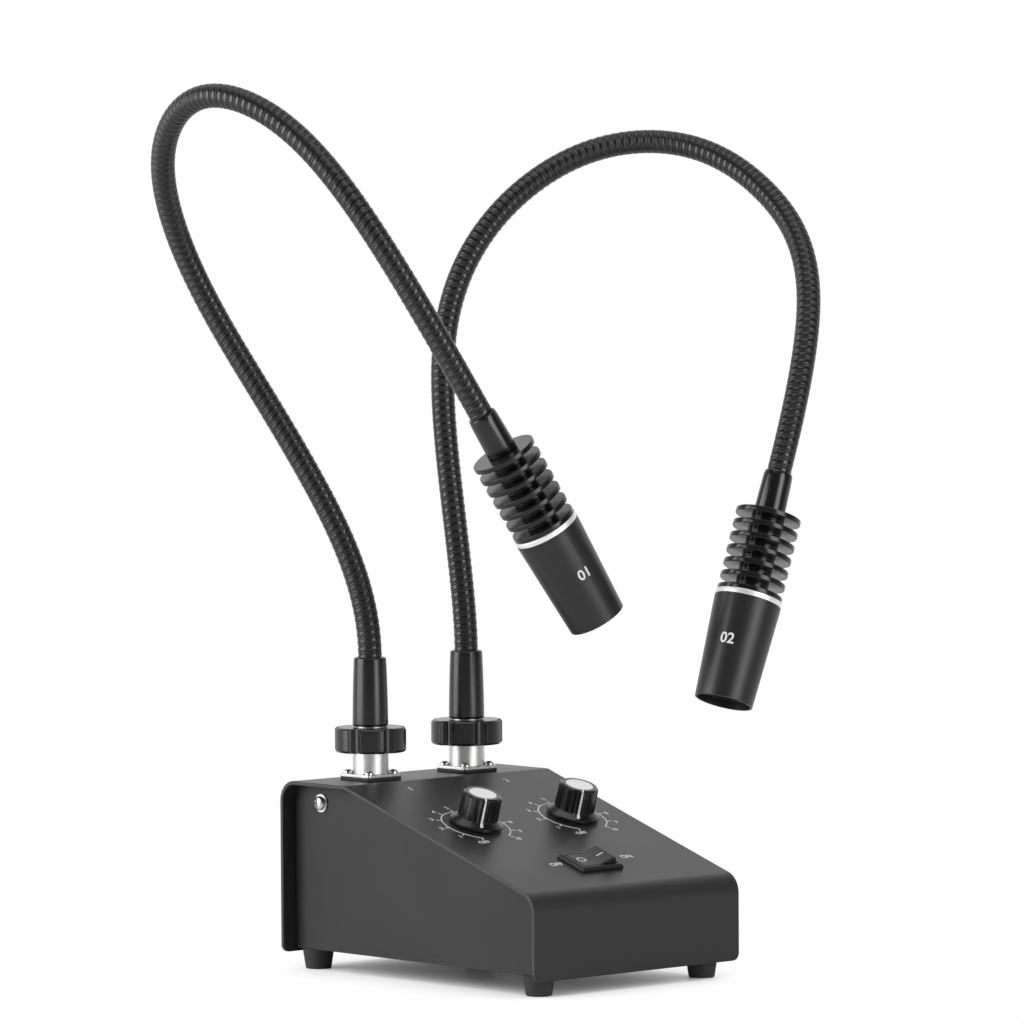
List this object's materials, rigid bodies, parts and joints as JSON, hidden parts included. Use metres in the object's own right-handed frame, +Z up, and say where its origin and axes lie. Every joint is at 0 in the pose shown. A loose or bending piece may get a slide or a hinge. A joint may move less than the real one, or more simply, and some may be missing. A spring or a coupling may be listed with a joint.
{
  "type": "bench illuminator",
  "caption": "Low wedge-shaped control box with dimmer knobs and a rocker switch, carrying flexible gooseneck lamps with finned heads.",
  "frame": {"origin": "on the bench, under the middle of the control box", "axes": "+Z up, +X to the operator's right, -Y towards the operator and the sloping front"},
  "size_m": [0.2242, 0.2063, 0.3428],
  "materials": {
    "case_paint": "satin",
    "chassis_paint": "satin",
    "screw_steel": "satin",
    "foot_rubber": "matte",
    "switch_plastic": "gloss",
    "rocker_plastic": "gloss",
    "pot_metal": "satin",
    "inlet_plastic": "matte",
    "board_laminate": "satin",
    "post_brass": "satin",
    "gasket_rubber": "matte",
    "socket_nickel": "satin",
    "ferrule_plastic": "gloss",
    "knob_plastic": "gloss",
    "cap_metal": "satin",
    "shaft_steel": "satin",
    "nut_plastic": "gloss",
    "neck_plastic": "gloss",
    "collar_plastic": "gloss",
    "sink_anodised": "satin",
    "ring_metal": "satin",
    "barrel_anodised": "satin",
    "lens_glass": "gloss",
    "led_laminate": "satin"
  },
  "bodies": {
    "base": {"cover": "case_paint", "chassis": "chassis_paint", "side_screw_left": "screw_steel", "side_screw_right": "screw_steel", "foot_front_left": "foot_rubber", "foot_front_right": "foot_rubber", "foot_rear_left": "foot_rubber", "foot_rear_right": "foot_rubber", "foot_screws": "screw_steel", "switch_housing": "switch_plastic", "pot_left": "pot_metal", "pot_right": "pot_metal", "pot_nut_left": "screw_steel", "pot_nut_right": "screw_steel", "power_inlet": "inlet_plastic", "power_inlet_nut": "screw_steel", "driver_board": "board_laminate", "board_posts": "post_brass", "socket_gasket_left": "gasket_rubber", "socket_left": "socket_nickel", "plug_left": "socket_nickel", "ferrule_left": "ferrule_plastic", "neck_left_1": "neck_plastic", "socket_gasket_right": "gasket_rubber", "socket_right": "socket_nickel", "plug_right": "socket_nickel", "ferrule_right": "ferrule_plastic", "neck_right_1": "neck_plastic"},
    "rocker": {"power_rocker": "rocker_plastic"},
    "dimmer_left": {"knob_left": "knob_plastic", "knob_cap_left": "cap_metal", "pot_shaft_left": "shaft_steel"},
    "dimmer_right": {"knob_right": "knob_plastic", "knob_cap_right": "cap_metal", "pot_shaft_right": "shaft_steel"},
    "nut_left": {"coupling_nut_left": "nut_plastic"},
    "nut_right": {"coupling_nut_right": "nut_plastic"},
    "neck_left_link_1": {"neck_left_2": "neck_plastic"},
    "neck_left_link_2": {"neck_left_3": "neck_plastic"},
    "neck_left_link_3": {"neck_left_4": "neck_plastic"},
    "neck_left_link_4": {"neck_left_5": "neck_plastic"},
    "neck_left_link_5": {"neck_left_6": "neck_plastic"},
    "head_left": {"head_collar_left": "collar_plastic", "heat_sink_left": "sink_anodised", "trim_ring_left": "ring_metal", "head_barrel_left": "barrel_anodised", "lens_left": "lens_glass", "led_board_left": "led_laminate"},
    "neck_right_link_1": {"neck_right_2": "neck_plastic"},
    "neck_right_link_2": {"neck_right_3": "neck_plastic"},
    "neck_right_link_3": {"neck_right_4": "neck_plastic"},
    "neck_right_link_4": {"neck_right_5": "neck_plastic"},
    "neck_right_link_5": {"neck_right_6": "neck_plastic"},
    "head_right": {"head_collar_right": "collar_plastic", "heat_sink_right": "sink_anodised", "trim_ring_right": "ring_metal", "head_barrel_right": "barrel_anodised", "lens_right": "lens_glass", "led_board_right": "led_laminate"}
  },
  "joints": [
    {"name": "power_switch", "type": "hinge", "parent": "base", "child": "rocker", "pos_m": [-0.0025, -0.04908, 0.04505], "axis": [0, 0.9508, 0.3099], "range_deg": [0, 20]},
    {"name": "dimmer_turn_left", "type": "hinge", "parent": "base", "child": "dimmer_left", "pos_m": [-0.024, -0.0099, 0.06393], "axis": [0, 0.3099, -0.9508], "range_deg": [0, 300]},
    {"name": "dimmer_turn_right", "type": "hinge", "parent": "base", "child": "dimmer_right", "pos_m": [0.0261, -0.0099, 0.06393], "axis": [0, 0.3099, -0.9508], "range_deg": [0, 300]},
    {"name": "coupling_nut_turn_left", "type": "hinge", "parent": "base", "child": "nut_left", "pos_m": [-0.0276, 0.0485, 0.089], "axis": [0, 0, 1], "continuous": true},
    {"name": "coupling_nut_turn_right", "type": "hinge", "parent": "base", "child": "nut_right", "pos_m": [0.0223, 0.0485, 0.089], "axis": [0, 0, 1], "continuous": true},
    {"name": "neck_left_sway", "type": "hinge", "parent": "base", "child": "neck_left_link_1", "pos_m": [-0.04162, 0.06613, 0.1901], "axis": [-0.1241, -0.9199, 0.3721], "range_deg": [-12, 12]},
    {"name": "neck_left_lean", "type": "hinge", "parent": "neck_left_link_1", "child": "neck_left_link_2", "pos_m": [-0.06462, 0.0959, 0.25331], "axis": [-0.9318, -0.1207, -0.3424], "range_deg": [-12, 12]},
    {"name": "neck_left_curl", "type": "hinge", "parent": "neck_left_link_2", "child": "neck_left_link_3", "pos_m": [-0.09735, 0.08675, 0.31544], "axis": [0.8965, -0.0313, 0.442], "range_deg": [-12, 12]},
    {"name": "neck_left_swing", "type": "hinge", "parent": "neck_left_link_3", "child": "neck_left_link_4", "pos_m": [-0.10243, 0.02282, 0.3327], "axis": [-0.0807, 0.3964, -0.9145], "range_deg": [-12, 12]},
    {"name": "neck_left_reach", "type": "hinge", "parent": "neck_left_link_4", "child": "neck_left_link_5", "pos_m": [-0.08445, -0.02522, 0.282], "axis": [0.9016, -0.1036, 0.4199], "range_deg": [-12, 12]},
    {"name": "head_left_tilt", "type": "hinge", "parent": "neck_left_link_5", "child": "head_left", "pos_m": [-0.05368, -0.04565, 0.21858], "axis": [-0.8659, -0.085, -0.4929], "range_deg": [-12, 12]},
    {"name": "neck_right_sway", "type": "hinge", "parent": "base", "child": "neck_right_link_1", "pos_m": [0.02278, 0.05881, 0.19342], "axis": [-0.0094, 0.9801, -0.1984], "range_deg": [-12, 12]},
    {"name": "neck_right_lean", "type": "hinge", "parent": "neck_right_link_1", "child": "neck_right_link_2", "pos_m": [0.03725, 0.0689, 0.26393], "axis": [-0.9157, -0.0281, 0.4009], "range_deg": [-12, 12]},
    {"name": "neck_right_curl", "type": "hinge", "parent": "neck_right_link_2", "child": "neck_right_link_3", "pos_m": [0.08083, 0.04338, 0.31405], "axis": [0.7338, 0.464, -0.4962], "range_deg": [-12, 12]},
    {"name": "neck_right_swing", "type": "hinge", "parent": "neck_right_link_3", "child": "neck_right_link_4", "pos_m": [0.10865, -0.0197, 0.30664], "axis": [0.0286, -0.4827, 0.8753], "range_deg": [-12, 12]},
    {"name": "neck_right_reach", "type": "hinge", "parent": "neck_right_link_4", "child": "neck_right_link_5", "pos_m": [0.09547, -0.06897, 0.2567], "axis": [0.8443, 0.1866, -0.5024], "range_deg": [-12, 12]},
    {"name": "head_right_tilt", "type": "hinge", "parent": "neck_right_link_5", "child": "head_right", "pos_m": [0.06252, -0.08631, 0.19383], "axis": [-0.9334, 0.0138, 0.3585], "range_deg": [-12, 12]}
  ]
}
